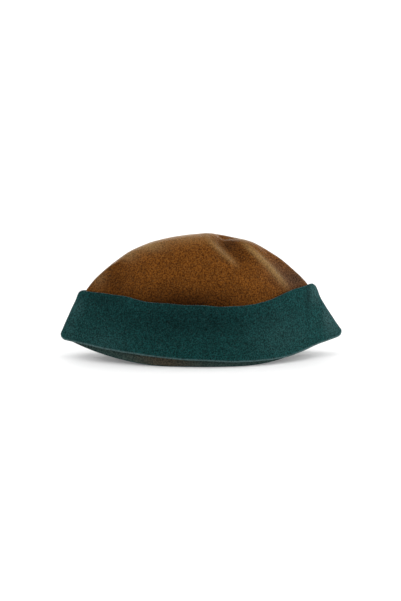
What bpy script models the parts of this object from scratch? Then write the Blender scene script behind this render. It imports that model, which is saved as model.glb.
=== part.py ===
"""A soft felt cap, standing folded nearly flat on its hem: a brown domed crown and a green felt cuff round it.

Metres, +Z up, the wearer's front towards -Y. The origin is on the floor, under the middle of the hat.
Every layer of felt is an offset of one surface, the crown's outside. A point of that surface is given by
up, from 0 at the hem to 1 at the top, and by lap, from 0 to 1 once round a ring from the left crease.
"""

from collections import namedtuple

import bmesh
import bpy
import numpy as np

# The crown, outside sizes
CROWN_WIDTH = 0.268  # between the two side creases, at the hem
CROWN_DEPTH = 0.090  # front to back, at the hem
CROWN_HEIGHT = 0.1262  # floor to the top of the dome, at the front
CROWN_WALL = 0.0025
HEM_RISE = 0.0183  # how far the hem lifts off the floor at the side creases
HEM_FLAT_LEFT = 0.0345  # how far the hem stays on the floor, from the middle
HEM_FLAT_RIGHT = 0.0462
HEM_CURVE = 1.7767  # how late the hem rises: 1 is straight away
RIGHT_END_BACK = 0.0151  # how far the right crease swings away from the wearer's front
SWING_START = 0.0296  # where that begins, from the middle
SWING_CURVE = 1.471
DENT_DEPTH = 0.0055  # the hollow beside the top
DENT_WIDTH = 0.0105

# The cuff
CUFF_WIDTH = 0.055
CUFF_WALL = 0.003
SEAT_GAP = 0.0003  # between the cuff's upper edge and the crown
CUFF_FLARE = 0.002  # how much further its lower edge stands off
HEM_SHOW = 0.010  # most of the hem that shows below the cuff
END_REACH = 0.0032  # how far its inside runs past each side crease of the crown
END_FOLD = 0.0005  # its least inside radius there, where it is pressed flat
CORNER_LEFT = 0.0045  # the radius of its corners at the left crease, seen from the front
CORNER_RIGHT = 0.0028

# How finely the felt is divided
FACE_STEPS = 30  # along the front of a ring, and along its back
CREASE_STEPS = 8  # round each side crease
CROWN_ROWS = 25
CUFF_ROWS = 7
EDGE_STEPS = 4  # round each rounded edge of the cuff

# One row for each ring of the crown. Rise is a share of CROWN_HEIGHT, lift of HEM_RISE, width and lean of
# half the CROWN_WIDTH, and depth of half the CROWN_DEPTH. Crease is the crease's radius as a share of the
# ring's own half depth.
Ring = namedtuple("Ring", "up rise lift width depth crease lean")
RINGS = (
    Ring(0.00, 0.000, 1.00, 0.996, 1.000, 0.08, -0.005),
    Ring(0.15, 0.286, 0.95, 0.878, 0.960, 0.09, -0.021),
    Ring(0.31, 0.487, 0.63, 0.821, 0.872, 0.11, -0.026),
    Ring(0.45, 0.667, 0.55, 0.669, 0.760, 0.20, -0.027),
    Ring(0.60, 0.796, 0.35, 0.535, 0.630, 0.34, -0.016),
    Ring(0.75, 0.913, 0.12, 0.369, 0.462, 0.48, 0.005),
    Ring(0.88, 0.978, 0.03, 0.168, 0.255, 0.60, 0.022),
    Ring(1.00, 1.000, 0.00, 0.000, 0.000, 0.65, 0.047),
)

# One row for each dent or ridge, seen from the wearer's front. X is a share of half the CROWN_WIDTH, z of
# CROWN_HEIGHT, bow of the fold's own length, width of DENT_WIDTH and out of DENT_DEPTH. Side is -1 on the
# front and 1 on the back.
Fold = namedtuple("Fold", "side x0 z0 x1 z1 bow width out")
FOLDS = (
    Fold(-1, 0.125, 1.000, 0.310, 0.800, 0.00, 0.90, -1.00),  # the hollow beside the top
    Fold(-1, 0.030, 0.990, 0.280, 0.760, 0.00, 0.50, 0.24),  # its left ridge
    Fold(-1, 0.300, 0.955, 0.640, 0.590, 0.07, 0.50, 0.34),  # its long right ridge
    Fold(-1, 0.440, 0.900, 0.730, 0.590, 0.06, 1.00, -0.42),  # the flat right of that ridge
    Fold(-1, -0.560, 0.830, -0.650, 0.500, 0.00, 1.15, -0.42),  # a soft valley by the left crease
    Fold(1, -0.080, 0.800, -0.300, 0.480, 0.05, 1.40, -0.70),  # a plain dent at the back
)
FOLD_SIDE_BLEND = 0.008  # over this depth, a fold fades out across the top

# One row for each place across the front, from the left crease, -1, to the right, 1. Show is how much of
# the hem is seen below the cuff, as a share of HEM_SHOW, and width the cuff's own as a share of CUFF_WIDTH.
Place = namedtuple("Place", "across show width")
PLACES = (
    Place(-1.00, 0.00, 0.97),
    Place(-0.86, 0.40, 0.99),
    Place(-0.66, 0.75, 1.01),
    Place(-0.45, 0.98, 0.97),
    Place(-0.20, 0.87, 0.99),
    Place(0.20, 0.52, 1.01),
    Place(0.42, 0.38, 1.04),
    Place(0.60, 0.18, 1.09),
    Place(0.78, 0.23, 1.12),
    Place(1.00, 0.10, 1.13),
)
BACK_SHOW = 0.40  # the same share all along the back

BROWN_FELT = (0.130, 0.048, 0.011, 1.0)
GREEN_FELT = (0.010, 0.036, 0.036, 1.0)


def smoothstep(start, end, value):
    """0 before start, 1 after end, and a smooth ramp between them."""
    t = np.clip((value - start) / (end - start), 0.0, 1.0)
    return t * t * (3.0 - 2.0 * t)


def through(knots, values, at):
    """A smooth curve through the values at the knots."""
    slopes = np.gradient(values, knots)
    i = np.clip(np.searchsorted(knots, at, side="right") - 1, 0, len(knots) - 2)
    step = knots[i + 1] - knots[i]
    t = (at - knots[i]) / step
    rest = 1.0 - t
    return (
        values[i] * (1.0 + 2.0 * t) * rest**2
        + values[i + 1] * (3.0 - 2.0 * t) * t**2
        + step * (slopes[i] * t * rest**2 - slopes[i + 1] * t**2 * rest)
    )


def ring_value(name, up):
    """A column of RINGS at any height. Past the top the curve runs on as its own mirror image."""
    knots = np.array([ring.up for ring in RINGS])
    values = np.array([getattr(ring, name) for ring in RINGS])
    mirrored = -values[-2] if name in ("width", "depth") else values[-2]
    knots = np.append(knots, 2.0 * knots[-1] - knots[-2])
    values = np.append(values, mirrored)
    return through(knots, values, up)


def ring_bearing(lap, blunt):
    """The way that a ring faces at a lap, in radians from the front towards the right. The two long arcs
    face within blunt of the front or back, and the creases take the rest."""
    face = 0.5 * FACE_STEPS / (FACE_STEPS + CREASE_STEPS)
    half = np.floor(2.0 * lap)
    along = lap - 0.5 * half
    on_face = along < face
    face_bearing = blunt * (2.0 * along / face - 1.0)
    crease_bearing = blunt + (np.pi - 2.0 * blunt) * (along - face) / (0.5 - face)
    return np.where(on_face, face_bearing, crease_bearing) + np.pi * half


def smooth_felt(up, lap, round_crown=False):
    """The crown's outside before it is dented: points at arrays of up and lap. The band that goes round the
    crown has the same shape, but is longer and pressed sharp at its two ends."""
    up, lap = np.broadcast_arrays(np.asarray(up, float), np.asarray(lap, float))
    half_width = 0.5 * CROWN_WIDTH * np.maximum(ring_value("width", up), 1e-5)
    half_depth = 0.5 * CROWN_DEPTH * np.maximum(ring_value("depth", up), 1e-5)
    half_depth = np.minimum(half_depth, half_width)
    crease = half_depth * np.clip(ring_value("crease", up), 0.0, 0.95)
    if round_crown:
        half_width = half_width + END_REACH
        crease = np.maximum(crease - END_REACH, END_FOLD)

    # An oval of four arcs: two long ones, front and back, and one round each crease
    run = half_width - crease
    long_radius = (run**2 + half_depth**2 - crease**2) / (2.0 * (half_depth - crease))
    blunt = np.arcsin(np.clip(run / (long_radius - crease), 0.0, 1.0))
    bearing = ring_bearing(lap % 1.0, blunt)
    side, ahead = np.sin(bearing), np.cos(bearing)
    on_face = np.abs(side) <= np.sin(blunt) + 1e-9
    radius = np.where(on_face, long_radius, crease)
    x = radius * side + np.where(on_face, 0.0, run * np.sign(side))
    y = -radius * ahead + np.where(on_face, (long_radius - half_depth) * np.sign(ahead), 0.0)

    flat = np.where(x < 0.0, HEM_FLAT_LEFT, HEM_FLAT_RIGHT) / (0.5 * CROWN_WIDTH)
    across = np.abs(x) / half_width
    lift = np.clip((across - flat) / (1.0 - flat), 0.0, 1.0) ** HEM_CURVE
    z = CROWN_HEIGHT * ring_value("rise", up) + HEM_RISE * ring_value("lift", up) * lift
    x = x + 0.5 * CROWN_WIDTH * ring_value("lean", up)
    return np.stack([x, bend_back(x, y), z], axis=-1)


def bend_back(x, y):
    """The right end of the hat swings back."""
    share = np.clip((x - SWING_START) / (0.5 * CROWN_WIDTH - SWING_START), 0.0, None)
    return y + RIGHT_END_BACK * share**SWING_CURVE


def fold_offset(points):
    """How far the dents and ridges push the felt out at each point."""
    out = np.zeros(points.shape[:-1])
    place = points[..., [0, 2]]
    unit = np.array([0.5 * CROWN_WIDTH, CROWN_HEIGHT])
    for fold in FOLDS:
        start = np.array([fold.x0, fold.z0]) * unit
        end = np.array([fold.x1, fold.z1]) * unit
        length = np.linalg.norm(end - start)
        along_way = (end - start) / length
        across_way = np.array([-along_way[1], along_way[0]])
        along = (place - start) @ along_way / length
        bow = 4.0 * fold.bow * length * along * (1.0 - along)
        across = (place - start) @ across_way - bow
        shape = np.exp(-((across / (fold.width * DENT_WIDTH)) ** 2))
        ends = smoothstep(-0.12, 0.22, along) * smoothstep(1.15, 0.70, along)
        facing = smoothstep(-FOLD_SIDE_BLEND, 0.25 * FOLD_SIDE_BLEND, fold.side * points[..., 1])
        out += DENT_DEPTH * fold.out * shape * ends * facing
    return out


def felt(up, lap, out=0.0, round_crown=False):
    """The dented felt: points that lie out metres outside the smooth shape."""
    step = 1e-4
    up, lap = np.broadcast_arrays(np.asarray(up, float), np.asarray(lap, float))
    below_top = np.minimum(up, 1.0 - 2.0 * step)
    after, before = (smooth_felt(below_top, lap + side, round_crown) for side in (step, -step))
    above, below = (smooth_felt(below_top + side, lap, round_crown) for side in (step, -step))
    normal = np.cross(after - before, above - below)
    normal /= np.linalg.norm(normal, axis=-1, keepdims=True)
    at_top = (up >= 1.0)[..., None]
    normal = np.where(at_top, np.array([0.0, 0.0, 1.0]), normal)
    points = smooth_felt(up, lap, round_crown)
    return points + (fold_offset(points) + out)[..., None] * normal


def laps():
    """Once round a ring, a lap for each column of faces."""
    count = 2 * (FACE_STEPS + CREASE_STEPS)
    return np.arange(count) / count


def across_front(lap):
    """Where a column stands between the left crease, -1, and the right, 1, and 1 where it is at the back."""
    hem = smooth_felt(0.0, lap)
    return np.clip(hem[..., 0] / (0.5 * CROWN_WIDTH), -1.0, 1.0), smoothstep(-0.004, 0.004, hem[..., 1])


def up_at_length(lap, length):
    """The up of the band that lies a length of felt above the hem, for each column."""
    steps = np.linspace(0.0, 0.6, 61)
    lines = smooth_felt(steps[:, None], lap, round_crown=True)
    runs = np.linalg.norm(np.diff(lines, axis=0), axis=-1)
    lengths = np.vstack([np.zeros(len(lap)), np.cumsum(runs, axis=0)])
    return np.array([np.interp(want, column, steps) for want, column in zip(length, lengths.T)])


def crown_rings():
    """The crown's rings, from the top down its outside to the hem, then up its inside."""
    lap = laps()
    ups = np.linspace(1.0, 0.0, CROWN_ROWS + 1)[1:]
    outside = [felt(up, lap) for up in ups]
    inside = [felt(up, lap, -CROWN_WALL) for up in ups[::-1]]
    inside[0][:, 2] = outside[-1][:, 2]  # the hem is cut level
    top = felt(1.0, 0.0)
    under_top = top - np.array([0.0, 0.0, CROWN_WALL])
    return [top, *outside, *inside, under_top]


def cuff_section():
    """The cuff's outline across its width, as (share of its width, share of its wall) pairs."""
    half_wall = 0.5 * CUFF_WALL / CUFF_WIDTH
    turn = np.linspace(0.0, np.pi, EDGE_STEPS + 1)
    sine, cosine = np.sin(turn), np.cos(turn)
    rise = np.linspace(half_wall, 1.0 - half_wall, CUFF_ROWS + 1)[1:-1]
    inside = [(width, 0.0) for width in rise]
    upper = list(zip(1.0 - half_wall + half_wall * sine, 0.5 - 0.5 * cosine))
    outside = [(width, 1.0) for width in rise[::-1]]
    lower = list(zip(half_wall - half_wall * sine, 0.5 + 0.5 * cosine))
    return inside + upper + outside + lower


def corner_cut(lap):
    """How much each edge of the cuff is cut back on its way round a crease, as a quarter circle."""
    x = felt(0.0, lap, SEAT_GAP + CUFF_WALL, round_crown=True)[:, 0]
    from_end = np.where(x < 0.0, x - x.min(), x.max() - x)
    radius = np.where(x < 0.0, CORNER_LEFT, CORNER_RIGHT)
    near = np.clip(1.0 - from_end / radius, 0.0, 1.0)
    return radius * (1.0 - np.sqrt(1.0 - near**2))


def cuff_edges(lap):
    """How far the cuff's lower edge lies above the hem, and how wide the cuff is, along the felt."""
    across, behind = across_front(lap)
    knots = np.array([place.across for place in PLACES])
    show = through(knots, np.array([place.show for place in PLACES]), across)
    width = through(knots, np.array([place.width for place in PLACES]), across)
    back_show = BACK_SHOW * smoothstep(1.0, 0.7, np.abs(across))
    back_width = 0.5 * (PLACES[-1].width * (1.0 + across) + PLACES[0].width * (1.0 - across))
    show = np.maximum((1.0 - behind) * show + behind * back_show, 0.0)
    width = (1.0 - behind) * width + behind * back_width
    corner = corner_cut(lap)
    return HEM_SHOW * show + corner, CUFF_WIDTH * width - 2.0 * corner


def cuff_rings():
    """The cuff's rings, one for each point of its section."""
    lap = laps()
    lower_edge, width = cuff_edges(lap)
    rings = []
    for width_share, wall_share in cuff_section():
        up = up_at_length(lap, lower_edge + width * width_share)
        out = SEAT_GAP + CUFF_FLARE * (1.0 - width_share) + CUFF_WALL * wall_share
        rings.append(felt(up, lap, out, round_crown=True))
    return rings


def felt_material(name, colour):
    """Matt felt of one colour."""
    material = bpy.data.materials.new(name)
    material.use_nodes = True
    shader = material.node_tree.nodes["Principled BSDF"]
    shader.inputs["Base Color"].default_value = colour
    shader.inputs["Roughness"].default_value = 0.95
    shader.inputs["Metallic"].default_value = 0.0
    material.diffuse_color = colour
    return material


def skin(name, rings, material, closed):
    """One solid skinned over rings of points. If closed, the last ring joins the first one, and otherwise
    the first and last rings are single points."""
    shape = bmesh.new()
    rows = [[shape.verts.new(point) for point in np.atleast_2d(ring)] for ring in rings]
    pairs = list(zip(rows, rows[1:] + rows[:1])) if closed else list(zip(rows, rows[1:]))
    for first, second in pairs:
        count = max(len(first), len(second))
        for i in range(count):
            j = (i + 1) % count
            if len(first) == 1:
                corners = (first[0], second[i], second[j])
            elif len(second) == 1:
                corners = (first[i], second[0], first[j])
            else:
                corners = (first[i], second[i], second[j], first[j])
            shape.faces.new(corners)
    bmesh.ops.recalc_face_normals(shape, faces=shape.faces)
    mesh = bpy.data.meshes.new(name)
    shape.to_mesh(mesh)
    shape.free()
    mesh.shade_smooth()
    mesh.set_sharp_from_angle(angle=np.radians(50.0))
    mesh.materials.append(material)
    piece = bpy.data.objects.new(name, mesh)
    bpy.context.scene.collection.objects.link(piece)
    return piece


def main():
    for old in list(bpy.data.objects):
        bpy.data.objects.remove(old)
    crown = crown_rings()
    cuff = cuff_rings()
    corners = np.concatenate(crown[1:-1] + cuff)
    middle = 0.5 * (corners.min(axis=0) + corners.max(axis=0)) * np.array([1.0, 1.0, 0.0])
    brown = felt_material("brown_felt", BROWN_FELT)
    green = felt_material("green_felt", GREEN_FELT)
    skin("crown", [ring - middle for ring in crown], brown, closed=False)
    skin("cuff", [ring - middle for ring in cuff], green, closed=True)


main()
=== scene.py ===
"""A soft two-colour felt cap, standing folded nearly flat on its hem on a white floor.

Both pieces of felt are skinned over rings of points, as offsets of one surface: the crown's outside. A
point of that surface is given by up, from 0 at the hem to 1 at the top, and by lap, from 0 to 1 once
round a ring from the left crease. Metres, +Z up, the wearer's front towards -Y.
"""

from collections import namedtuple

import bpy
import numpy as np
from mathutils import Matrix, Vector, noise


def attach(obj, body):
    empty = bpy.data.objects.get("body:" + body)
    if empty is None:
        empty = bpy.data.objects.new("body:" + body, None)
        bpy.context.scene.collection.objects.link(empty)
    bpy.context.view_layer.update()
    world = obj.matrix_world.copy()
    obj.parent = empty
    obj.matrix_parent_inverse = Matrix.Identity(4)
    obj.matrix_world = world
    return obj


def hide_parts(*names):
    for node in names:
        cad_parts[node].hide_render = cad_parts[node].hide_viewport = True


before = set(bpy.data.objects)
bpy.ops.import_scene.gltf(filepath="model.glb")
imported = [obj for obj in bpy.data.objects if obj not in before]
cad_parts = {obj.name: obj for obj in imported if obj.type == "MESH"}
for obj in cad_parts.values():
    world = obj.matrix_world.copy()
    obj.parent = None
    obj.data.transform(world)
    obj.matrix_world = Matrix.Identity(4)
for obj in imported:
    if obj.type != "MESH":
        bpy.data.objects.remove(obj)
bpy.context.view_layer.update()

# The crown, outside sizes
CROWN_WIDTH = 0.268  # between the two side creases, at the hem
CROWN_DEPTH = 0.090
CROWN_HEIGHT = 0.1262
CROWN_WALL = 0.0025
HEM_RISE = 0.0183  # how far the hem lifts off the floor at the creases
HEM_FLAT_LEFT = 0.0345  # how far from the middle the hem stands on the floor
HEM_FLAT_RIGHT = 0.0462
HEM_CURVE = 1.7767  # the power by which it lifts from there
RIGHT_END_BACK = 0.0151  # how far the right crease is set back
SWING_START = 0.0296  # where the hat begins to swing back, right of its middle
SWING_CURVE = 1.471  # the power by which it does
DENT_DEPTH = 0.0055
DENT_WIDTH = 0.0105

# The cuff
CUFF_WIDTH = 0.055
CUFF_WALL = 0.003
SEAT_GAP = 0.0003  # between the crown and the cuff
CUFF_FLARE = 0.002  # how much further its lower edge stands out than its upper edge
HEM_SHOW = 0.010  # the most of the hem that is seen below it
END_REACH = 0.0032  # how far its inside runs past each side crease of the crown
END_FOLD = 0.0005  # its least inside radius there, where it is pressed flat
CORNER_LEFT = 0.0045  # the radius of its rounded corners
CORNER_RIGHT = 0.0028

# How finely the felt is divided
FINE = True
FACE_STEPS = 150 if FINE else 90  # along the front of a ring, and along its back
CREASE_STEPS = 20  # round each side crease
CROWN_ROWS = 130 if FINE else 80
LINING_ROWS = 60
CUFF_ROWS = 60 if FINE else 36
EDGE_STEPS = 8  # round each cut edge
LENGTH_STEPS = 121  # up the felt, where a length of it is measured

# One row for each ring of the crown. Rise is a share of CROWN_HEIGHT, lift of HEM_RISE, width and lean of
# half the CROWN_WIDTH, and depth of half the CROWN_DEPTH. Crease is the crease's radius as a share of the
# ring's own half depth.
Ring = namedtuple("Ring", "up rise lift width depth crease lean")
RINGS = (
    Ring(0.00, 0.000, 1.00, 0.996, 1.000, 0.08, -0.005),
    Ring(0.15, 0.286, 0.95, 0.878, 0.960, 0.09, -0.021),
    Ring(0.31, 0.487, 0.63, 0.821, 0.872, 0.11, -0.026),
    Ring(0.45, 0.667, 0.55, 0.669, 0.760, 0.20, -0.027),
    Ring(0.60, 0.796, 0.35, 0.535, 0.630, 0.34, -0.016),
    Ring(0.75, 0.913, 0.12, 0.369, 0.462, 0.48, 0.005),
    Ring(0.88, 0.978, 0.03, 0.168, 0.255, 0.60, 0.022),
    Ring(1.00, 1.000, 0.00, 0.000, 0.000, 0.65, 0.047),
)

# One row for each dent or ridge, seen from the wearer's front. X is a share of half the CROWN_WIDTH, z of
# CROWN_HEIGHT, bow of the fold's own length, width of DENT_WIDTH and out of DENT_DEPTH. Side is -1 on the
# front and 1 on the back. Crisp is 0 for a round fold and 1 for one that comes to a line.
Fold = namedtuple("Fold", "side x0 z0 x1 z1 bow width out crisp")
FOLDS = (
    Fold(-1, 0.125, 1.000, 0.310, 0.800, 0.00, 0.85, -0.95, 0.0),  # the hollow beside the top
    Fold(-1, 0.030, 0.995, 0.275, 0.770, 0.00, 0.42, 0.24, 0.5),  # its left ridge
    Fold(-1, 0.300, 0.955, 0.640, 0.580, 0.03, 0.42, 0.36, 0.9),  # its long right ridge
    Fold(-1, 0.440, 0.900, 0.730, 0.590, 0.06, 0.95, -0.44, 0.0),  # the flat right of that ridge
    Fold(-1, -0.560, 0.830, -0.650, 0.500, 0.00, 1.15, -0.42, 0.0),  # a soft valley by the left crease
    Fold(-1, -0.620, 0.850, -0.920, 0.480, 0.00, 1.30, -0.15, 0.0),  # the slack by the left crease, in front
    Fold(1, -0.620, 0.850, -0.920, 0.480, 0.00, 1.30, -0.15, 0.0),  # and behind
    Fold(1, -0.080, 0.800, -0.300, 0.480, 0.05, 1.40, -0.70, 0.0),  # a plain dent at the back
)
FOLD_SIDE_BLEND = 0.008  # over how much depth a fold fades at the creases, where front and back meet
FOLD_START = (-0.12, 0.22)  # where a fold comes in, as shares of its length
FOLD_END = (1.15, 0.70)  # and where it has died out
LINE_FALL = 1.7  # how fast a crisp fold falls off beside its line
LINE_ROUND = 0.02  # how much that line is rounded
RIDGE_NARROW = 1.6  # how much narrower the pale line along a ridge is than the ridge: wear, and a painted highlight where the ridge catches the light

# One row for each place across the front, from the left crease, -1, to the right, 1. Show is how much of
# the hem is seen below the cuff, as a share of HEM_SHOW, and width the cuff's own as a share of CUFF_WIDTH.
Place = namedtuple("Place", "across show width")
PLACES = (
    Place(-1.00, 0.00, 0.97),
    Place(-0.86, 0.40, 0.99),
    Place(-0.66, 0.75, 1.01),
    Place(-0.45, 0.98, 0.97),
    Place(-0.20, 0.87, 0.99),
    Place(0.20, 0.52, 1.01),
    Place(0.42, 0.38, 1.04),
    Place(0.60, 0.18, 1.09),
    Place(0.78, 0.23, 1.12),
    Place(1.00, 0.10, 1.13),
)
BACK_SHOW = 0.40  # the show at the back
BACK_SHOW_FADE = (1.0, 0.7)  # where it comes in beside each crease, as shares of half the CROWN_WIDTH
BACK_DROP = 0.06  # how much narrower the cuff is just behind the right crease, as a share of CUFF_WIDTH
BACK_DROP_START = (0.442, 0.478)  # the laps where it comes in
BACK_DROP_END = (0.620, 0.540)  # and where it has died out
BEHIND_BLEND = 0.004  # how far to each side of a crease the front turns into the back
TIP_REACH = 0.0027  # how far the cuff's lower right corner stands out
TIP_START = (0.92, 0.99)  # where it begins to, as shares of the hem's reach to the right
TIP_CURVE = 1.5  # the power by which that fades towards the upper edge
PALE_EDGE = 0.014  # how far up the cuff its lower edge is pale, from wear and as a painted highlight, as a share of its width
PALE_TURN = 0.1  # how pale the rounding of its cut edges is, from wear and as a painted highlight
BROWN_HEM = 0.35  # how much brown shows in the hem, where it shows most
BROWN_PLACE = -0.26  # where that is, as a share of half the CROWN_WIDTH
BROWN_SPREAD = 0.22
GREEN_AND_SHADE_HEM = (0.016, 0.011)  # how high above the hem the crown turns from brown to the hem's dark olive: its green inside, and painted shade on the brown under the cuff
BACK_START = (0.5, 1.0)  # where the front counts as set back, as shares of half the CROWN_WIDTH

# One row for each soft patch where the felt is darker, greyer or paler, seen from the front: dark is painted
# shade, grey is painted light that greys the colour, and pale is painted sheen. X and width are shares of
# half the
# CROWN_WIDTH, z and height of CROWN_HEIGHT. Dark, grey and pale run from 0 to 1.
Patch = namedtuple("Patch", "piece x z width height dark grey pale")
PATCHES = (
    Patch("crown", -0.10, 0.50, 0.50, 0.12, 0.88, 0.00, 0.00),  # painted shade where the dome tucks in behind the cuff
    Patch("crown", -0.66, 0.66, 0.12, 0.14, 0.42, 0.00, 0.00),  # painted shade in the valley by the left crease
    Patch("crown", 0.20, 0.93, 0.10, 0.09, 0.60, 0.10, 0.00),  # painted shade in the hollow beside the top
    Patch("crown", 0.34, 0.84, 0.12, 0.10, 0.20, 0.00, 0.00),
    Patch("crown", 0.63, 0.78, 0.12, 0.13, 0.50, 0.85, 0.00),  # painted shade, greyed, on the flat at the right
    Patch("crown", 0.72, 0.64, 0.09, 0.09, 0.60, 0.90, 0.00),
    Patch("crown", -0.79, 0.71, 0.07, 0.10, 0.00, 0.60, 0.80),  # painted sheen along the brow, from the crease to the top
    Patch("crown", -0.61, 0.85, 0.11, 0.05, 0.00, 0.55, 1.00),
    Patch("crown", -0.43, 0.93, 0.14, 0.05, 0.00, 0.45, 1.00),
    Patch("crown", -0.17, 0.99, 0.17, 0.05, 0.00, 0.00, 0.45),
    Patch("crown", 0.04, 1.01, 0.18, 0.05, 0.00, 0.00, 0.25),
    # the cuff: painted shade under its upper edge, and painted light towards its ends
    Patch("cuff", -0.10, 0.38, 0.62, 0.14, 0.50, 0.00, 0.00),
    Patch("cuff", -0.74, 0.50, 0.16, 0.07, 0.30, 0.00, 0.00),
    Patch("cuff", -0.72, 0.14, 0.16, 0.12, 0.00, 0.28, 0.00),
    Patch("cuff", 0.60, 0.20, 0.22, 0.20, 0.00, 0.22, 0.00),
    Patch("cuff", 0.80, 0.50, 0.02, 0.14, 0.50, 0.00, 0.00),  # painted shade in a faint crease by the right end
    Patch("cuff", -0.99, 0.34, 0.06, 0.30, 0.00, 0.30, 0.00),  # painted light on its ends, along the creases
    Patch("cuff", -0.93, 0.43, 0.06, 0.08, 0.00, 0.45, 0.00),
    Patch("cuff", 0.87, 0.54, 0.06, 0.10, 0.00, 0.60, 0.20),
    Patch("cuff", 0.95, 0.36, 0.04, 0.12, 0.00, 0.50, 0.20),
    Patch("cuff", 1.01, 0.22, 0.06, 0.12, 0.00, 0.40, 0.10),
)

# One row for each size of the soft unevenness of hand-made felt
Wave = namedtuple("Wave", "length height")
WAVES = (Wave(0.045, 0.00055), Wave(0.016, 0.00022), Wave(0.006, 0.00008))
EDGE_WAVES = (Wave(0.022, 0.00045), Wave(0.007, 0.00018))  # of a cut edge, along the felt
SEED_SHIFT = (3.1, 1.7, 0.9)  # how far each seed moves the waves
FELT_SEED, CUFF_LOWER_SEED, CUFF_UPPER_SEED, HEM_SEED = 1, 2, 3, 5

# Small measures of the shapes
LEAST_SHARE = 1e-5  # the least width and depth of a ring, so that the top still has a direction
MOST_CREASE = 0.95  # the largest radius of a crease, as a share of the ring's half depth
ROUNDING_SLACK = 1e-9  # so that rounding doesn't move a point from one arc to the next
NORMAL_STEP = 1e-4  # how far to each side a normal is measured, in up and in lap
HIGHEST_EDGE = 0.6  # the most up that an edge of the cuff can have
EDGE_SQUARE = 0.75  # how square a cut edge is: 1 is a full round
HEM_ROUNDING = 0.35  # how far the hem's rounding reaches, as a share of its wall
CUFF_ROUNDING = 0.42  # and that of the cuff's edges
HEM_CLEAR = 0.004  # how high the hem has lifted where its waves show in full
LEVEL_FADE = 12.0  # how fast the levelling inside the hem dies out on the way up

# The looks of the felt, with one row for each noise texture in it. Low and high are the values of the noise
# that become 0 and 1.
Clouds = namedtuple("Clouds", "scale detail rough low high")
FIBRES = Clouds(740.0, 2.0, 0.70, 0.30, 0.70)
MOTTLE = Clouds(95.0, 3.0, 0.55, 0.34, 0.66)
BROAD_MOTTLE = Clouds(24.0, 2.0, 0.5, 0.35, 0.65)
SPECKS = Clouds(900.0, 1.0, 0.5, 0.56, 0.74)
HAIRS = Clouds(1300.0, 3.0, 0.7, 0.2, 0.8)
LUMPS = Clouds(380.0, 2.0, 0.5, 0.2, 0.8)
HAIR_STRETCH = (1.0, 1.0, 0.45)
MOTTLE_SHARE, MOTTLE_SHADE = 0.22, (0.45, 0.42, 0.40, 1.0)
BROAD_SHARE, BROAD_SHADE = 0.18, (0.55, 0.52, 0.50, 1.0)
DARK_SHADE = (0.18, 0.16, 0.18, 1.0)  # what a fully dark patch is multiplied by: the deepest painted shade
WORN_AND_SHEEN_TONES = (0.70, 1.25)  # the two shades of worn felt and of painted sheen, as shares of its nap's colour
HAIR_BUMP = {"Strength": 0.55, "Distance": 0.00035}
LUMP_BUMP = {"Strength": 0.35, "Distance": 0.0006}
MATT_FELT = {"Roughness": 0.96, "Specular IOR Level": 0.03, "Sheen Roughness": 0.28}
MIX_SOCKETS = (0, 6, 7)  # a colour mix's factor, first and second colour
MIX_RESULT = 2

# The floor, the studio and the camera
FLOOR_SIDE = 9.0
WHITE = (1.0, 1.0, 1.0, 1.0)
FLOOR_LOOK = {
    "Base Color": (0.62, 0.62, 0.62, 1.0),
    "Roughness": 0.9,
    "Specular IOR Level": 0.1,
    "Emission Color": WHITE,
    "Emission Strength": 0.15,
}
SKY_STRENGTH = 0.22

# One row for each broad light. Spread is its size in degrees, and towards the way to it from the hat.
Sun = namedtuple("Sun", "name strength spread towards")
SUNS = (
    Sun("top", 0.8, 70.0, (0.0, 0.0, 1.0)),
    Sun("back", 0.8, 60.0, (0.0, 0.8, 1.0)),
    Sun("left", 1.5, 60.0, (-1.0, 0.1, 0.6)),
    Sun("right", 1.8, 60.0, (1.0, 0.1, 0.6)),
    Sun("left_low", 0.3, 30.0, (-1.0, 0.0, 0.16)),
    Sun("right_low", 1.2, 30.0, (1.0, 0.0, 0.16)),
    Sun("front_top", 1.0, 60.0, (0.0, -0.8, 1.0)),
    Sun("front_right", 0.8, 50.0, (0.7, -1.0, 0.35)),
    Sun("back_low", 2.4, 40.0, (0.0, 1.0, 0.25)),
)

CAMERA_FAR = 4.0  # from the point that it aims at
CAMERA_CLIP = 50.0
CAMERA_ELEVATION = np.radians(12.0)
SENSOR = 36.0  # millimetres
FRAME_HEIGHT = 601  # pixels
PIXEL = 0.001  # metres of hat to a pixel of the frame
AIM = Vector((-0.0009, 0.0, 0.0581))


def smoothstep(start, end, value):
    """0 before start, 1 after end, and a smooth ramp between them."""
    t = np.clip((value - start) / (end - start), 0.0, 1.0)
    return t * t * (3.0 - 2.0 * t)


def through(knots, values, at):
    """A smooth curve through the values at the knots."""
    slopes = np.gradient(values, knots)
    i = np.clip(np.searchsorted(knots, at, side="right") - 1, 0, len(knots) - 2)
    step = knots[i + 1] - knots[i]
    t = (at - knots[i]) / step
    rest = 1.0 - t
    return (
        values[i] * (1.0 + 2.0 * t) * rest**2
        + values[i + 1] * (3.0 - 2.0 * t) * t**2
        + step * (slopes[i] * t * rest**2 - slopes[i + 1] * t**2 * rest)
    )


def ring_value(name, up):
    """A column of RINGS at any height. Past the top the curve runs on as its own mirror image."""
    knots = np.array([ring.up for ring in RINGS])
    values = np.array([getattr(ring, name) for ring in RINGS])
    mirrored = -values[-2] if name in ("width", "depth") else values[-2]
    knots = np.append(knots, 2.0 * knots[-1] - knots[-2])
    values = np.append(values, mirrored)
    return through(knots, values, up)


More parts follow.
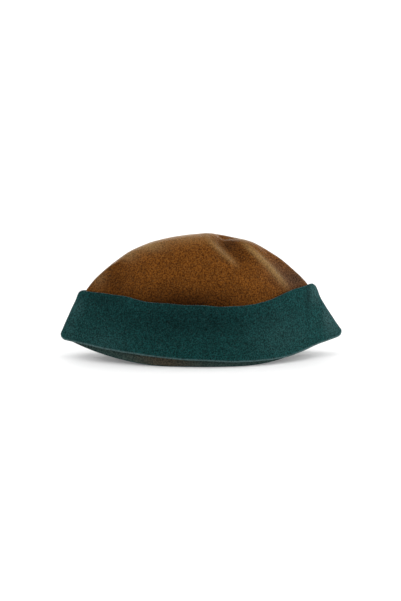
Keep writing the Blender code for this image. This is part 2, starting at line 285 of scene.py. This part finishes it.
def ring_bearing(lap, blunt):
    """The way that a ring faces at a lap, in radians from the front towards the right."""
    face = 0.5 * FACE_STEPS / (FACE_STEPS + CREASE_STEPS)
    half = np.floor(2.0 * lap)
    along = lap - 0.5 * half
    face_bearing = blunt * (2.0 * along / face - 1.0)
    crease_bearing = blunt + (np.pi - 2.0 * blunt) * (along - face) / (0.5 - face)
    return np.where(along < face, face_bearing, crease_bearing) + np.pi * half


def bend_back(x, y):
    """The right end of the hat swings back."""
    share = np.clip((x - SWING_START) / (0.5 * CROWN_WIDTH - SWING_START), 0.0, None)
    return y + RIGHT_END_BACK * share**SWING_CURVE


def smooth_felt(up, lap, round_crown=False):
    """The crown's outside before it is dented: points at arrays of up and lap. The band that goes round the
    crown has the same shape, but is longer and pressed sharp at its two ends."""
    up, lap = np.broadcast_arrays(np.asarray(up, float), np.asarray(lap, float))
    half_width = 0.5 * CROWN_WIDTH * np.maximum(ring_value("width", up), LEAST_SHARE)
    half_depth = 0.5 * CROWN_DEPTH * np.maximum(ring_value("depth", up), LEAST_SHARE)
    half_depth = np.minimum(half_depth, half_width)
    crease = half_depth * np.clip(ring_value("crease", up), 0.0, MOST_CREASE)
    if round_crown:
        half_width = half_width + END_REACH
        crease = np.maximum(crease - END_REACH, END_FOLD)

    # An oval of four arcs: two long ones, front and back, and one round each crease
    run = half_width - crease
    long_radius = (run**2 + half_depth**2 - crease**2) / (2.0 * (half_depth - crease))
    blunt = np.arcsin(np.clip(run / (long_radius - crease), 0.0, 1.0))
    bearing = ring_bearing(lap % 1.0, blunt)
    side, ahead = np.sin(bearing), np.cos(bearing)
    on_face = np.abs(side) <= np.sin(blunt) + ROUNDING_SLACK
    radius = np.where(on_face, long_radius, crease)
    x = radius * side + np.where(on_face, 0.0, run * np.sign(side))
    y = -radius * ahead + np.where(on_face, (long_radius - half_depth) * np.sign(ahead), 0.0)

    flat = np.where(x < 0.0, HEM_FLAT_LEFT, HEM_FLAT_RIGHT) / (0.5 * CROWN_WIDTH)
    across = np.abs(x) / half_width
    lift = np.clip((across - flat) / (1.0 - flat), 0.0, 1.0) ** HEM_CURVE
    z = CROWN_HEIGHT * ring_value("rise", up) + HEM_RISE * ring_value("lift", up) * lift
    x = x + 0.5 * CROWN_WIDTH * ring_value("lean", up)
    return np.stack([x, bend_back(x, y), z], axis=-1)


def fold_field(points):
    """How far the dents and ridges push the felt out at each point, and how much of a ridge is there."""
    out = np.zeros(points.shape[:-1])
    ridge = np.zeros(points.shape[:-1])
    place = points[..., [0, 2]]
    unit = np.array([0.5 * CROWN_WIDTH, CROWN_HEIGHT])
    for fold in FOLDS:
        start = np.array([fold.x0, fold.z0]) * unit
        end = np.array([fold.x1, fold.z1]) * unit
        length = np.linalg.norm(end - start)
        along_way = (end - start) / length
        across_way = np.array([-along_way[1], along_way[0]])
        along = (place - start) @ along_way / length
        bow = 4.0 * fold.bow * length * along * (1.0 - along)
        across = ((place - start) @ across_way - bow) / (fold.width * DENT_WIDTH)
        round_shape = np.exp(-(across**2))
        line_shape = np.exp(-LINE_FALL * (np.sqrt(across**2 + LINE_ROUND) - np.sqrt(LINE_ROUND)))
        shape = (1.0 - fold.crisp) * round_shape + fold.crisp * line_shape
        ends = smoothstep(*FOLD_START, along) * smoothstep(*FOLD_END, along)
        facing = smoothstep(-FOLD_SIDE_BLEND, 0.25 * FOLD_SIDE_BLEND, fold.side * points[..., 1])
        out += DENT_DEPTH * fold.out * shape * ends * facing
        if fold.crisp:
            ridge = np.maximum(ridge, fold.crisp * np.exp(-((RIDGE_NARROW * across) ** 2)) * ends * facing)
    return out, ridge


def waves(points, rows, seed):
    """Smooth seeded unevenness at each point, as a height."""
    flat = points.reshape(-1, 3)
    total = np.zeros(len(flat))
    for i, wave in enumerate(rows):
        shift = Vector((SEED_SHIFT[0] * seed + i, SEED_SHIFT[1] * seed, SEED_SHIFT[2] * seed))
        total += wave.height * np.array([noise.noise(Vector(p) / wave.length + shift) for p in flat])
    return total.reshape(points.shape[:-1])


def felt(up, lap, out=0.0, round_crown=False):
    """The dented felt: points that lie out metres outside the smooth shape."""
    up, lap = np.broadcast_arrays(np.asarray(up, float), np.asarray(lap, float))
    below_top = np.minimum(up, 1.0 - 2.0 * NORMAL_STEP)
    steps = (NORMAL_STEP, -NORMAL_STEP)
    after, before = (smooth_felt(below_top, lap + step, round_crown) for step in steps)
    above, below = (smooth_felt(below_top + step, lap, round_crown) for step in steps)
    normal = np.cross(after - before, above - below)
    normal /= np.linalg.norm(normal, axis=-1, keepdims=True)
    normal = np.where((up >= 1.0)[..., None], np.array([0.0, 0.0, 1.0]), normal)
    points = smooth_felt(up, lap, round_crown)
    dents = fold_field(points)[0] + waves(points, WAVES, FELT_SEED)
    return points + (dents + out)[..., None] * normal


def laps():
    """Once round a ring, a lap for each column of faces."""
    count = 2 * (FACE_STEPS + CREASE_STEPS)
    return np.arange(count) / count


def across_front(lap):
    """Where each column stands between the left crease, -1, and the right, 1, and how far it is behind."""
    hem = smooth_felt(0.0, lap)
    behind = smoothstep(-BEHIND_BLEND, BEHIND_BLEND, hem[..., 1])
    return np.clip(hem[..., 0] / (0.5 * CROWN_WIDTH), -1.0, 1.0), behind


def up_at_length(lap, length, round_crown=False):
    """The up that lies a length of felt above the hem, for each column."""
    steps = np.linspace(0.0, HIGHEST_EDGE, LENGTH_STEPS)
    lines = smooth_felt(steps[:, None], lap, round_crown)
    runs = np.linalg.norm(np.diff(lines, axis=0), axis=-1)
    lengths = np.vstack([np.zeros(len(lap)), np.cumsum(runs, axis=0)])
    return np.array([np.interp(want, column, steps) for want, column in zip(length, lengths.T)])


def edge_turn(points):
    """Half a turn round a cut edge, as (reach, wall) pairs: a softly squared end, not a full round."""
    turn = np.linspace(0.0, np.pi, points + 1)
    sine, cosine = np.sin(turn), np.cos(turn)
    reach = np.abs(sine) ** EDGE_SQUARE
    return list(zip(reach, 0.5 - 0.5 * np.sign(cosine) * np.abs(cosine) ** EDGE_SQUARE))


def crown_rings():
    """The crown's rings, from the top down its outside, round the cut hem, and up its inside."""
    lap = laps()
    edge = HEM_ROUNDING * CROWN_WALL
    start = up_at_length(lap, np.full(len(lap), edge))
    down = np.linspace(0.0, 1.0, CROWN_ROWS + 1)[1:]
    outside = [felt(1.0 + (start - 1.0) * share, lap) for share in down]
    turn = edge_turn(EDGE_STEPS)[1:-1]
    uneven = waves(smooth_felt(0.0, lap), EDGE_WAVES, HEM_SEED)
    hem = []
    for reach, wall in turn:
        ring = felt(start * (1.0 - reach), lap, -CROWN_WALL * wall)
        ring[:, 2] += np.maximum(uneven, 0.0) * reach * smoothstep(0.0, HEM_CLEAR, ring[:, 2])
        hem.append(ring)
    upward = np.linspace(0.0, 1.0, LINING_ROWS + 1)[:-1]
    inside = [felt(start + (1.0 - start) * share, lap, -CROWN_WALL) for share in upward]
    level = outside[-1][:, 2] - inside[0][:, 2]
    for ring, share in zip(inside, upward):
        ring[:, 2] += level * np.clip(1.0 - LEVEL_FADE * share, 0.0, 1.0)
    for ring, (_, wall) in zip(hem, turn):
        ring[:, 2] += level * wall
    top = felt(1.0, 0.0)
    under_top = top - np.array([0.0, 0.0, CROWN_WALL])
    return [top, *outside, *hem, *inside, under_top], len(outside)


def corner_cut(lap):
    """How much each edge of the cuff is cut back on its way round a crease, as a quarter circle."""
    x = felt(0.0, lap, SEAT_GAP + CUFF_WALL, round_crown=True)[:, 0]
    from_end = np.where(x < 0.0, x - x.min(), x.max() - x)
    radius = np.where(x < 0.0, CORNER_LEFT, CORNER_RIGHT)
    near = np.clip(1.0 - from_end / radius, 0.0, 1.0)
    return radius * (1.0 - np.sqrt(1.0 - near**2))


def cuff_edges(lap):
    """How far the cuff's lower edge lies above the hem, and how wide the cuff is, along the felt."""
    across, behind = across_front(lap)
    knots = np.array([place.across for place in PLACES])
    show = through(knots, np.array([place.show for place in PLACES]), across)
    width = through(knots, np.array([place.width for place in PLACES]), across)
    back_show = BACK_SHOW * smoothstep(*BACK_SHOW_FADE, np.abs(across))
    back_width = 0.5 * (PLACES[-1].width * (1.0 + across) + PLACES[0].width * (1.0 - across))
    show = np.maximum((1.0 - behind) * show + behind * back_show, 0.0)
    width = (1.0 - behind) * width + behind * back_width
    width -= BACK_DROP * smoothstep(*BACK_DROP_START, lap) * smoothstep(*BACK_DROP_END, lap)
    corner = corner_cut(lap)
    return HEM_SHOW * show + corner, CUFF_WIDTH * width - 2.0 * corner


def cuff_section():
    """The cuff's outline across its width: (place between its lower and upper edge, reach past it, wall)."""
    rows = np.insert(np.linspace(0.0, 1.0, CUFF_ROWS + 1), 1, PALE_EDGE)
    turn = edge_turn(EDGE_STEPS)[1:-1]
    inside = [(width, 0.0, 0.0) for width in rows]
    upper = [(1.0, reach, wall) for reach, wall in turn]
    outside = [(width, 0.0, 1.0) for width in rows[::-1]]
    lower = [(0.0, -reach, 1.0 - wall) for reach, wall in turn]
    return inside + upper + outside + lower


def cuff_rings():
    """The cuff's rings, one for each point of its section."""
    lap = laps()
    lower_edge, width = cuff_edges(lap)
    path = smooth_felt(0.0, lap)
    lower_edge = lower_edge + waves(path, EDGE_WAVES, CUFF_LOWER_SEED)
    width = width + waves(path, EDGE_WAVES, CUFF_UPPER_SEED)
    edge = CUFF_ROUNDING * CUFF_WALL
    tip = TIP_REACH * smoothstep(*TIP_START, path[:, 0] / path[:, 0].max())
    rings = []
    for place, reach, wall in cuff_section():
        length = lower_edge + edge + (width - 2.0 * edge) * place + edge * reach
        up = up_at_length(lap, np.maximum(length, 0.0), round_crown=True)
        out = SEAT_GAP + CUFF_FLARE * (1.0 - place) + CUFF_WALL * wall + tip * (1.0 - place) ** TIP_CURVE
        rings.append(felt(up, lap, out, round_crown=True))
    return rings


def skin(name, rings, materials, closed, inner_from=None):
    """One piece skinned over rings of points. If closed, the last ring joins the first one, and otherwise
    the first and last rings are single points. Faces from row inner_from on take the second material."""
    points, faces, slots, starts = [], [], [], []
    for ring in rings:
        starts.append((len(points), len(np.atleast_2d(ring))))
        points.extend(np.atleast_2d(ring).tolist())
    pairs = list(zip(starts, starts[1:] + starts[:1])) if closed else list(zip(starts, starts[1:]))
    for row, ((first, first_count), (second, second_count)) in enumerate(pairs):
        count = max(first_count, second_count)
        for i in range(count):
            j = (i + 1) % count
            if first_count == 1:
                faces.append((first, second + i, second + j))
            elif second_count == 1:
                faces.append((first + i, second, first + j))
            else:
                faces.append((first + i, second + i, second + j, first + j))
            slots.append(1 if inner_from is not None and row >= inner_from else 0)
    mesh = bpy.data.meshes.new(name)
    mesh.from_pydata(points, [], faces)
    for material in materials:
        mesh.materials.append(material)
    mesh.polygons.foreach_set("material_index", slots)
    mesh.validate()
    mesh.shade_smooth()
    piece = bpy.data.objects.new(name, mesh)
    bpy.context.scene.collection.objects.link(piece)
    return piece


def patches(piece, points):
    """How much painted shade (dark), painted light that greys the colour (grey) and painted sheen (pale) the
    felt has at each point.
    """
    total = np.zeros((len(points), 3))
    set_back = RIGHT_END_BACK * smoothstep(*BACK_START, points[:, 0] / (0.5 * CROWN_WIDTH))
    facing = smoothstep(FOLD_SIDE_BLEND, -FOLD_SIDE_BLEND, points[:, 1] - set_back)
    for patch in PATCHES:
        if patch.piece == piece:
            x = (points[:, 0] / (0.5 * CROWN_WIDTH) - patch.x) / patch.width
            z = (points[:, 2] / CROWN_HEIGHT - patch.z) / patch.height
            share = np.exp(-(x**2) - z**2) * facing
            total += share[:, None] * np.array([patch.dark, patch.grey, patch.pale])
    return dict(zip(("dark", "grey", "pale"), np.minimum(total, 1.0).T))


def hem_green_and_shade(points):
    """How much of the hem's dark olive the crown has at each point, which stands for its green inside and
    for painted shade under the cuff: only by its hem, and less where brown shows in that.
    """
    front = smooth_felt(0.0, laps()[: FACE_STEPS + 1])
    height = points[:, 2] - np.interp(points[:, 0], front[:, 0], front[:, 2])
    brown_away = (points[:, 0] / (0.5 * CROWN_WIDTH) - BROWN_PLACE) / BROWN_SPREAD
    return (1.0 - BROWN_HEM * np.exp(-(brown_away**2))) * smoothstep(*GREEN_AND_SHADE_HEM, height)


def paint(piece, name, values):
    """Stores a value at each of the piece's points, for its material."""
    layer = piece.data.attributes.new(name, "FLOAT", "POINT")
    layer.data.foreach_set("value", np.asarray(values, np.float32))


def felt_material(name, dark, light, greyed_by_light, nap, speck, wear_and_sheen, sheen, tint, hem=None):
    """Wool felt: fibres in two shades, clouded, with a short nap that pales where the felt is rubbed and
    where painted sheen and highlights are laid on. Values painted at its points also lay painted shade and
    painted light into its colour.
    """
    material = bpy.data.materials.new(name)
    material.use_nodes = True
    nodes, links = material.node_tree.nodes, material.node_tree.links
    shader = nodes["Principled BSDF"]
    for socket, value in MATT_FELT.items():
        shader.inputs[socket].default_value = value
    shader.inputs["Sheen Weight"].default_value = sheen
    shader.inputs["Sheen Tint"].default_value = (*tint, 1.0)
    place = nodes.new("ShaderNodeTexCoord").outputs["Object"]

    def clouds(row, stretch=None):
        texture = nodes.new("ShaderNodeTexNoise")
        texture.inputs["Scale"].default_value = row.scale
        texture.inputs["Detail"].default_value = row.detail
        texture.inputs["Roughness"].default_value = row.rough
        if stretch:
            mapping = nodes.new("ShaderNodeMapping")
            mapping.inputs["Scale"].default_value = stretch
            links.new(place, mapping.inputs["Vector"])
            links.new(mapping.outputs["Vector"], texture.inputs["Vector"])
        else:
            links.new(place, texture.inputs["Vector"])
        spread = nodes.new("ShaderNodeMapRange")
        spread.interpolation_type = "SMOOTHSTEP"
        spread.inputs["From Min"].default_value = row.low
        spread.inputs["From Max"].default_value = row.high
        links.new(texture.outputs["Fac"], spread.inputs["Value"])
        return spread.outputs["Result"]

    def mix(kind, factor, first, second):
        blend = nodes.new("ShaderNodeMix")
        blend.data_type = "RGBA"
        blend.blend_type = kind
        blend.clamp_factor = True
        for index, value in zip(MIX_SOCKETS, (factor, first, second)):
            if isinstance(value, bpy.types.NodeSocket):
                links.new(value, blend.inputs[index])
            else:
                blend.inputs[index].default_value = value
        return blend.outputs[MIX_RESULT]

    def two_tone(first, second):
        return mix("MIX", fibre, (*first, 1.0), (*second, 1.0))

    def painted(attribute):
        node = nodes.new("ShaderNodeAttribute")
        node.attribute_name = attribute
        return node.outputs["Fac"]

    def times(value, factor):
        node = nodes.new("ShaderNodeMath")
        node.operation = "MULTIPLY"
        links.new(value, node.inputs[0])
        node.inputs[1].default_value = factor
        return node.outputs[0]

    def bump(look, height):
        node = nodes.new("ShaderNodeBump")
        for socket, value in look.items():
            node.inputs[socket].default_value = value
        links.new(height, node.inputs["Height"])
        return node

    fibre = clouds(FIBRES)
    mottle = clouds(MOTTLE)
    broad = clouds(BROAD_MOTTLE)
    colour = two_tone(dark, light)
    colour = mix("MULTIPLY", times(mottle, MOTTLE_SHARE), colour, MOTTLE_SHADE)
    colour = mix("MULTIPLY", times(broad, BROAD_SHARE), colour, BROAD_SHADE)
    colour = mix("MIX", times(clouds(SPECKS), speck), colour, (*nap, 1.0))
    # the hem's dark olive: its green inside, and painted shade on the brown under the cuff
    if hem:
        colour = mix("MIX", painted("near_hem"), colour, two_tone(*hem))
    # painted light: the grey patches turn the colour greyer, and on the green felt lighter
    colour = mix("MIX", painted("grey"), colour, two_tone(*greyed_by_light))
    worn_and_sheen = two_tone(*([tone * channel for channel in nap] for tone in WORN_AND_SHEEN_TONES))
    # painted sheen, from the pale patches
    colour = mix("MIX", times(painted("pale"), wear_and_sheen), colour, worn_and_sheen)
    # painted shade, from the dark patches
    colour = mix("MULTIPLY", painted("dark"), colour, DARK_SHADE)
    # wear, and a painted highlight, along the ridges and cut edges
    colour = mix("MIX", times(painted("worn_and_highlit"), wear_and_sheen), colour, worn_and_sheen)
    links.new(colour, shader.inputs["Base Color"])

    fine = bump(HAIR_BUMP, clouds(HAIRS, HAIR_STRETCH))
    coarse = bump(LUMP_BUMP, clouds(LUMPS))
    links.new(coarse.outputs["Normal"], fine.inputs["Normal"])
    links.new(fine.outputs["Normal"], shader.inputs["Normal"])
    return material


BROWN = felt_material(
    "brown_felt",
    dark=(0.034, 0.0095, 0.0010),
    light=(0.190, 0.0650, 0.0090),
    # the colours of the painted light in the grey patches
    greyed_by_light=((0.034, 0.0170, 0.0110), (0.150, 0.0880, 0.0520)),
    nap=(0.300, 0.190, 0.074),
    speck=0.16,
    wear_and_sheen=0.50,
    sheen=0.65,
    tint=(1.0, 0.92, 0.74),
    # the hem's dark olive: green felt, and brown darkened as painted shade under the cuff
    hem=((0.010, 0.026, 0.024), (0.047, 0.078, 0.070)),
)
GREEN = felt_material(
    "green_felt",
    dark=(0.0016, 0.0110, 0.0102),
    # the colours of the painted light in the grey patches
    light=(0.0085, 0.0570, 0.0555),
    greyed_by_light=((0.0090, 0.0240, 0.0240), (0.0400, 0.1000, 0.1000)),
    nap=(0.110, 0.170, 0.170),
    speck=0.12,
    wear_and_sheen=0.42,
    sheen=0.28,
    tint=(0.72, 0.88, 1.0),
)

crown_shape, inner_from = crown_rings()
cuff_shape = cuff_rings()
crown_points = np.concatenate([np.atleast_2d(ring) for ring in crown_shape])
cuff_points = np.concatenate(cuff_shape)
middle = 0.5 * (cuff_points.min(axis=0) + cuff_points.max(axis=0)) * np.array([1.0, 1.0, 0.0])

crown = skin("felt_crown", [ring - middle for ring in crown_shape], (BROWN, GREEN), False, inner_from)
# the ridges are painted pale: wear, and a painted highlight where they catch the light
paint(crown, "worn_and_highlit", fold_field(crown_points)[1])
# the hem's green inside, and painted shade under the cuff
paint(crown, "near_hem", hem_green_and_shade(crown_points))
# painted light and shade on the crown
for name, values in patches("crown", crown_points).items():
    paint(crown, name, values)
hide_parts("crown")
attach(crown, "root")

cuff = skin("felt_cuff", [ring - middle for ring in cuff_shape], (GREEN,), True)
# the cuff's cut edges are painted pale, its lower one most: wear, and a painted highlight
on_edge = [1.0 if place == 0.0 else PALE_TURN * reach for place, reach, _ in cuff_section()]
paint(cuff, "worn_and_highlit", np.repeat(on_edge, len(laps())))
# painted light and shade on the cuff
for name, values in patches("cuff", cuff_points).items():
    paint(cuff, name, values)
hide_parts("cuff")
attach(cuff, "root")

# The floor, the light and the camera
floor_mesh = bpy.data.meshes.new("floor")
floor_corners = [(x * FLOOR_SIDE, y * FLOOR_SIDE, 0.0) for x, y in ((-1, -1), (1, -1), (1, 1), (-1, 1))]
floor_mesh.from_pydata(floor_corners, [], [(0, 1, 2, 3)])
floor = bpy.data.objects.new("floor", floor_mesh)
bpy.context.scene.collection.objects.link(floor)
white = bpy.data.materials.new("white_floor")
white.use_nodes = True
for socket, value in FLOOR_LOOK.items():
    white.node_tree.nodes["Principled BSDF"].inputs[socket].default_value = value
floor_mesh.materials.append(white)

for sun in SUNS:
    light = bpy.data.lights.new(sun.name, "SUN")
    light.energy = sun.strength
    light.angle = np.radians(sun.spread)
    lamp = bpy.data.objects.new(sun.name, light)
    lamp.rotation_euler = Vector(sun.towards).to_track_quat("Z", "Y").to_euler()
    bpy.context.scene.collection.objects.link(lamp)

scene = bpy.context.scene
if scene.world is None:
    scene.world = bpy.data.worlds.new("studio")
scene.world.use_nodes = True
sky = scene.world.node_tree.nodes["Background"]
sky.inputs["Color"].default_value = WHITE
sky.inputs["Strength"].default_value = SKY_STRENGTH
scene.view_settings.view_transform = "Standard"
scene.view_settings.look = "None"
scene.view_settings.exposure = 0.0
scene.view_settings.gamma = 1.0

lens = bpy.data.cameras.new("camera")
lens.sensor_fit = "VERTICAL"
lens.sensor_height = SENSOR
lens.lens = SENSOR * CAMERA_FAR / (FRAME_HEIGHT * PIXEL)
lens.clip_end = CAMERA_CLIP
camera = bpy.data.objects.new("camera", lens)
away = Vector((0.0, -np.cos(CAMERA_ELEVATION), np.sin(CAMERA_ELEVATION)))
camera.location = AIM + CAMERA_FAR * away
camera.rotation_euler = away.to_track_quat("Z", "Y").to_euler()
scene.collection.objects.link(camera)
scene.camera = camera
